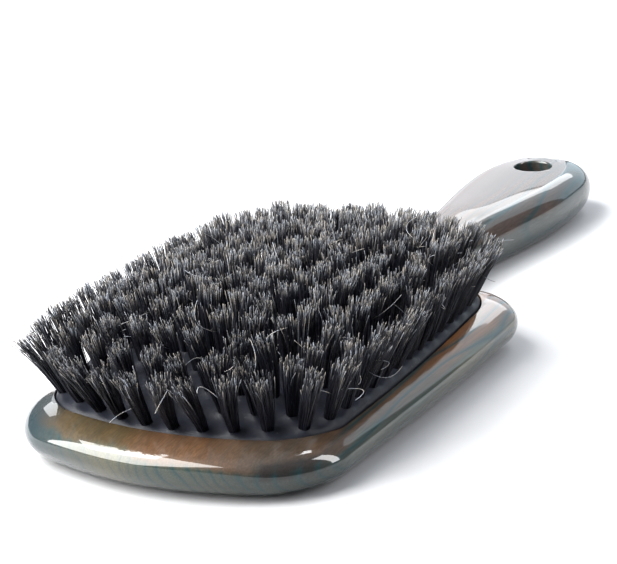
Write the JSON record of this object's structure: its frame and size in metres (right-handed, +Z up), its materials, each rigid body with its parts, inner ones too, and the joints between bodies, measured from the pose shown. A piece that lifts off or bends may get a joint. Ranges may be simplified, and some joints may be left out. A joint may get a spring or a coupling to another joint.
{
  "type": "paddle brush",
  "caption": "Flat paddle hair brush: lacquered wooden head and handle with a hanging hole, a domed rubber air cushion and rows of bristle tufts that sink with it.",
  "frame": {"origin": "on the surface the brush lies on, under the middle of its overall box", "axes": "+Z up, bristles up and the paddle's back down; +Y from the head to the handle's end; +X across the head"},
  "size_m": [0.086, 0.25, 0.0353],
  "materials": {
    "lacquered_wood": "high-gloss clear lacquer over greenish brown sandalwood",
    "black_rubber": "smooth, slightly shiny moulded rubber",
    "black_bristle": "black natural bristle with pale split ends"
  },
  "bodies": {
    "paddle": {"paddle_body": "lacquered_wood", "rubber_cushion": "black_rubber"},
    "row_01": {"tuft_row_01": "black_bristle"},
    "row_02": {"tuft_row_02": "black_bristle"},
    "row_03": {"tuft_row_03": "black_bristle"},
    "row_04": {"tuft_row_04": "black_bristle"},
    "row_05": {"tuft_row_05": "black_bristle"},
    "row_06": {"tuft_row_06": "black_bristle"},
    "row_07": {"tuft_row_07": "black_bristle"},
    "row_08": {"tuft_row_08": "black_bristle"},
    "row_09": {"tuft_row_09": "black_bristle"},
    "row_10": {"tuft_row_10": "black_bristle"},
    "row_11": {"tuft_row_11": "black_bristle"},
    "row_12": {"tuft_row_12": "black_bristle"},
    "row_13": {"tuft_row_13": "black_bristle"},
    "row_14": {"tuft_row_14": "black_bristle"},
    "row_15": {"tuft_row_15": "black_bristle"}
  },
  "joints": [
    {"name": "cushion_press", "type": "slide", "parent": "paddle", "child": "row_09", "axis": [0, 0, -1], "range_m": [0, 0.0035], "stiffness_N_per_m": 2500, "deforming": ["rubber_cushion"]},
    {"name": "row_01_press", "type": "slide", "parent": "paddle", "child": "row_01", "axis": [0, 0, -1], "range_m": [0, 0.00149]},
    {"name": "row_02_press", "type": "slide", "parent": "paddle", "child": "row_02", "axis": [0, 0, -1], "range_m": [0, 0.00208]},
    {"name": "row_03_press", "type": "slide", "parent": "paddle", "child": "row_03", "axis": [0, 0, -1], "range_m": [0, 0.00263]},
    {"name": "row_04_press", "type": "slide", "parent": "paddle", "child": "row_04", "axis": [0, 0, -1], "range_m": [0, 0.00304]},
    {"name": "row_05_press", "type": "slide", "parent": "paddle", "child": "row_05", "axis": [0, 0, -1], "range_m": [0, 0.00327]},
    {"name": "row_06_press", "type": "slide", "parent": "paddle", "child": "row_06", "axis": [0, 0, -1], "range_m": [0, 0.00339]},
    {"name": "row_07_press", "type": "slide", "parent": "paddle", "child": "row_07", "axis": [0, 0, -1], "range_m": [0, 0.00345]},
    {"name": "row_08_press", "type": "slide", "parent": "paddle", "child": "row_08", "axis": [0, 0, -1], "range_m": [0, 0.00348]},
    {"name": "row_10_press", "type": "slide", "parent": "paddle", "child": "row_10", "axis": [0, 0, -1], "range_m": [0, 0.00351]},
    {"name": "row_11_press", "type": "slide", "parent": "paddle", "child": "row_11", "axis": [0, 0, -1], "range_m": [0, 0.00347]},
    {"name": "row_12_press", "type": "slide", "parent": "paddle", "child": "row_12", "axis": [0, 0, -1], "range_m": [0, 0.00335]},
    {"name": "row_13_press", "type": "slide", "parent": "paddle", "child": "row_13", "axis": [0, 0, -1], "range_m": [0, 0.00316]},
    {"name": "row_14_press", "type": "slide", "parent": "paddle", "child": "row_14", "axis": [0, 0, -1], "range_m": [0, 0.00286]},
    {"name": "row_15_press", "type": "slide", "parent": "paddle", "child": "row_15", "axis": [0, 0, -1], "range_m": [0, 0.00248]}
  ],
  "couplings": [
    {"joint": "row_01_press", "follows": "cushion_press", "ratio": 0.424},
    {"joint": "row_02_press", "follows": "cushion_press", "ratio": 0.592},
    {"joint": "row_03_press", "follows": "cushion_press", "ratio": 0.748},
    {"joint": "row_04_press", "follows": "cushion_press", "ratio": 0.867},
    {"joint": "row_05_press", "follows": "cushion_press", "ratio": 0.932},
    {"joint": "row_06_press", "follows": "cushion_press", "ratio": 0.965},
    {"joint": "row_07_press", "follows": "cushion_press", "ratio": 0.983},
    {"joint": "row_08_press", "follows": "cushion_press", "ratio": 0.993},
    {"joint": "row_10_press", "follows": "cushion_press", "ratio": 1},
    {"joint": "row_11_press", "follows": "cushion_press", "ratio": 0.988},
    {"joint": "row_12_press", "follows": "cushion_press", "ratio": 0.955},
    {"joint": "row_13_press", "follows": "cushion_press", "ratio": 0.9},
    {"joint": "row_14_press", "follows": "cushion_press", "ratio": 0.815},
    {"joint": "row_15_press", "follows": "cushion_press", "ratio": 0.706}
  ]
}
